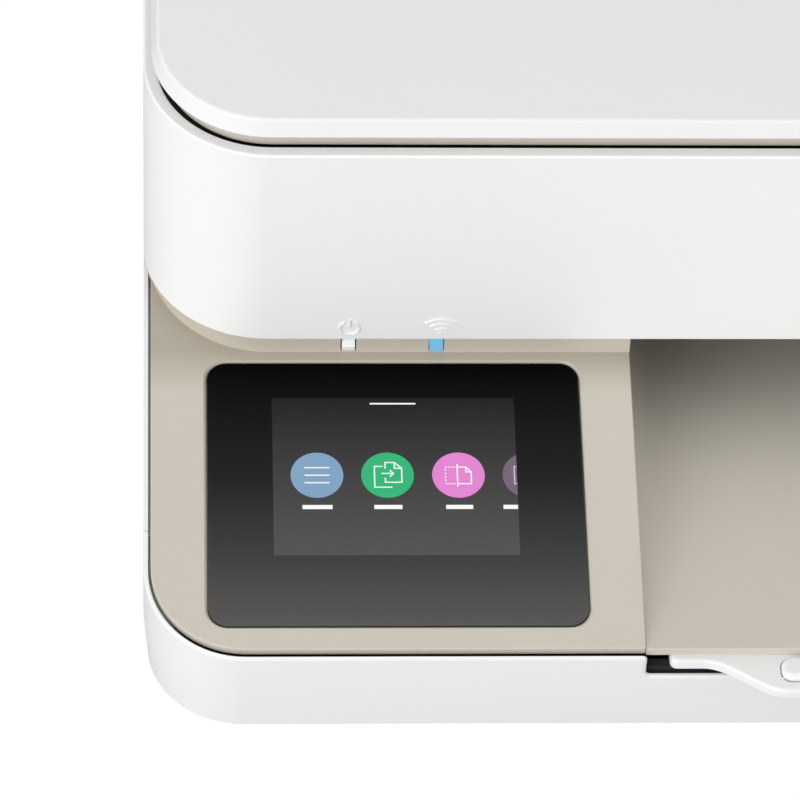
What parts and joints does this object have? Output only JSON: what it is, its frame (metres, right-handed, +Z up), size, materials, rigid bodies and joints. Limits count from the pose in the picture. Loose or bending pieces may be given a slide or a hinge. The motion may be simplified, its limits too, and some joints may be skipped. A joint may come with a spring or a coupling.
{
  "type": "inkjet printer",
  "caption": "Low all-in-one inkjet printer: flatbed scanner unit over a sloping control deck, open output bay and a full-width paper drawer with a pull-out extender.",
  "frame": {"origin": "under the middle of the printer, on the surface its feet stand on", "axes": "+X to the right seen from the front, +Y to the back, +Z up"},
  "size_m": [0.432, 0.3692, 0.1223],
  "materials": {
    "white_plastic": "smooth satin moulded",
    "white_gloss": "glossy moulded",
    "sand_plastic": "fine-grained satin, warm sand",
    "dark_plastic": "fine texture",
    "black_plastic": "satin",
    "gloss_black": "polished",
    "grey_plastic": "fine texture",
    "gear_plastic": "natural acetal",
    "blue_plastic": "satin",
    "light_pipe": "clear, lit",
    "board_green": "solder mask",
    "steel": "zinc-plated sheet",
    "polished_steel": "ground",
    "brass_gear": "turned",
    "rubber": "matt",
    "clear_glass": "polished",
    "clear_film": "clear film",
    "white_foam": "smooth white sheet on foam"
  },
  "bodies": {
    "base": {"base_pan": "dark_plastic", "base_shell": "white_plastic", "front_deck": "sand_plastic", "touch_glass": "gloss_black", "display_module": "dark_plastic", "control_board": "board_green", "indicator_lights": "light_pipe", "rubber_feet": "rubber", "main_frame": "steel", "carriage_rod": "polished_steel", "encoder_strip": "clear_film", "platen": "black_plastic", "service_station": "dark_plastic", "main_board": "board_green", "power_supply": "black_plastic", "power_inlet": "black_plastic", "usb_port": "polished_steel", "turn_guide": "dark_plastic", "access_hinge_pins": "polished_steel", "carriage_motor": "steel", "feed_motor": "steel", "carriage_belt": "rubber", "chassis_screws": "polished_steel"},
    "motor_pulley": {"motor_pulley": "polished_steel"},
    "idler_pulley": {"idler_pulley": "grey_plastic"},
    "carriage": {"print_carriage": "dark_plastic", "color_cartridge": "black_plastic", "black_cartridge": "black_plastic"},
    "left_latch": {"left_latch": "blue_plastic"},
    "right_latch": {"right_latch": "grey_plastic"},
    "feed_shaft": {"feed_roller": "rubber", "feed_gear": "gear_plastic"},
    "idler_gear": {"idler_gear": "gear_plastic"},
    "output_shaft": {"output_roller": "rubber", "output_gear": "gear_plastic"},
    "motor_pinion": {"motor_pinion": "brass_gear"},
    "pinch_roller": {"pinch_roller": "grey_plastic"},
    "star_wheels": {"star_wheels": "steel"},
    "turn_roller": {"turn_roller": "rubber"},
    "pick_arm": {"pick_arm": "dark_plastic"},
    "pick_roller": {"pick_roller": "rubber"},
    "scanner_unit": {"scanner_shell": "white_plastic", "scanner_pan": "dark_plastic", "glass_bezel": "sand_plastic", "scan_glass": "clear_glass", "scan_rail": "polished_steel", "scan_motor": "steel", "lid_hinge_brackets": "steel"},
    "scan_bar": {"scan_bar": "black_plastic"},
    "lid": {"lid_cover": "white_gloss", "lid_pad": "white_foam"},
    "drawer": {"drawer_front": "white_plastic", "drawer_pan": "dark_plastic"},
    "left_guide": {"left_guide": "grey_plastic"},
    "right_guide": {"right_guide": "grey_plastic"},
    "guide_pinion": {"guide_pinion": "grey_plastic"},
    "length_guide": {"length_guide": "grey_plastic"},
    "extender": {"tray_extender": "white_plastic"},
    "paper_stop": {"paper_stop": "white_plastic"},
    "power_button": {"power_button": "grey_plastic"}
  },
  "joints": [
    {"name": "access_hinge", "type": "hinge", "parent": "base", "child": "scanner_unit", "pos_m": [0, 0.1769, 0.0818], "axis": [-1, 0, 0], "range_deg": [0, 35]},
    {"name": "lid_hinge", "type": "hinge", "parent": "scanner_unit", "child": "lid", "pos_m": [0, 0.1805, 0.12015], "axis": [-1, 0, 0], "range_deg": [0, 88]},
    {"name": "scan_bar_slide", "type": "slide", "parent": "scanner_unit", "child": "scan_bar", "axis": [1, 0, 0], "range_m": [0, 0.296]},
    {"name": "carriage_slide", "type": "slide", "parent": "base", "child": "carriage", "axis": [1, 0, 0], "range_m": [-0.256, 0]},
    {"name": "motor_pulley_spin", "type": "hinge", "parent": "base", "child": "motor_pulley", "pos_m": [-0.18, 0.069, 0.06], "axis": [0, 1, 0], "range_deg": [-2230, 5]},
    {"name": "idler_pulley_spin", "type": "hinge", "parent": "base", "child": "idler_pulley", "pos_m": [0.18, 0.069, 0.06], "axis": [0, 1, 0], "range_deg": [-2230, 5]},
    {"name": "left_latch_hinge", "type": "hinge", "parent": "carriage", "child": "left_latch", "pos_m": [0.1295, -0.009, 0.05], "axis": [1, 0, 0], "range_deg": [0, 60]},
    {"name": "right_latch_hinge", "type": "hinge", "parent": "carriage", "child": "right_latch", "pos_m": [0.1645, -0.009, 0.05], "axis": [1, 0, 0], "range_deg": [0, 60]},
    {"name": "feed_spin", "type": "hinge", "parent": "base", "child": "feed_shaft", "pos_m": [0, 0.046, 0.0345], "axis": [1, 0, 0], "continuous": true},
    {"name": "idler_spin", "type": "hinge", "parent": "base", "child": "idler_gear", "pos_m": [-0.154, 0.0148, 0.0345], "axis": [1, 0, 0], "continuous": true},
    {"name": "output_spin", "type": "hinge", "parent": "base", "child": "output_shaft", "pos_m": [0, -0.0136, 0.0345], "axis": [1, 0, 0], "continuous": true},
    {"name": "motor_spin", "type": "hinge", "parent": "base", "child": "motor_pinion", "pos_m": [-0.154, 0.0518, 0.05614], "axis": [1, 0, 0], "continuous": true},
    {"name": "pinch_spin", "type": "hinge", "parent": "base", "child": "pinch_roller", "pos_m": [0, 0.046, 0.0426], "axis": [1, 0, 0], "continuous": true},
    {"name": "star_spin", "type": "hinge", "parent": "base", "child": "star_wheels", "pos_m": [0, -0.0136, 0.0433], "axis": [1, 0, 0], "continuous": true},
    {"name": "turn_spin", "type": "hinge", "parent": "base", "child": "turn_roller", "pos_m": [0, 0.146, 0.04], "axis": [1, 0, 0], "continuous": true},
    {"name": "pick_arm_hinge", "type": "hinge", "parent": "base", "child": "pick_arm", "pos_m": [0, 0.084, 0.042], "axis": [1, 0, 0], "range_deg": [0, 12]},
    {"name": "pick_spin", "type": "hinge", "parent": "pick_arm", "child": "pick_roller", "pos_m": [0, 0.106, 0.0245], "axis": [1, 0, 0], "continuous": true},
    {"name": "drawer_slide", "type": "slide", "parent": "base", "child": "drawer", "axis": [0, -1, 0], "range_m": [0, 0.15]},
    {"name": "left_guide_slide", "type": "slide", "parent": "drawer", "child": "left_guide", "axis": [1, 0, 0], "range_m": [0, 0.055]},
    {"name": "right_guide_slide", "type": "slide", "parent": "drawer", "child": "right_guide", "axis": [-1, 0, 0], "range_m": [0, 0.055]},
    {"name": "guide_pinion_spin", "type": "hinge", "parent": "drawer", "child": "guide_pinion", "pos_m": [0, -0.02, 0.0152], "axis": [0, 0, 1], "range_deg": [-5, 760]},
    {"name": "length_guide_slide", "type": "slide", "parent": "drawer", "child": "length_guide", "axis": [0, 1, 0], "range_m": [0, 0.1]},
    {"name": "extender_slide", "type": "slide", "parent": "base", "child": "extender", "axis": [0, -0.9945, 0.1045], "range_m": [0, 0.085]},
    {"name": "paper_stop_hinge", "type": "hinge", "parent": "extender", "child": "paper_stop", "pos_m": [0, -0.18098, 0.04457], "axis": [1, 0, 0], "range_deg": [0, 90]},
    {"name": "power_button_press", "type": "slide", "parent": "base", "child": "power_button", "axis": [0, -1, 0], "range_m": [0, 0.0015], "stiffness_N_per_m": 400}
  ],
  "couplings": [
    {"joint": "motor_pulley_spin", "follows": "carriage_slide", "rad_per_m": 151.51},
    {"joint": "idler_pulley_spin", "follows": "carriage_slide", "rad_per_m": 151.51},
    {"joint": "idler_spin", "follows": "feed_spin", "ratio": -1.0526},
    {"joint": "output_spin", "follows": "feed_spin", "ratio": 1.2121},
    {"joint": "motor_spin", "follows": "feed_spin", "ratio": -2.5},
    {"joint": "pinch_spin", "follows": "feed_spin", "ratio": -3.3333},
    {"joint": "star_spin", "follows": "feed_spin", "ratio": -1.7316},
    {"joint": "turn_spin", "follows": "feed_spin", "ratio": 0.3},
    {"joint": "right_guide_slide", "follows": "left_guide_slide", "ratio": 1},
    {"joint": "guide_pinion_spin", "follows": "left_guide_slide", "rad_per_m": 238.1}
  ]
}
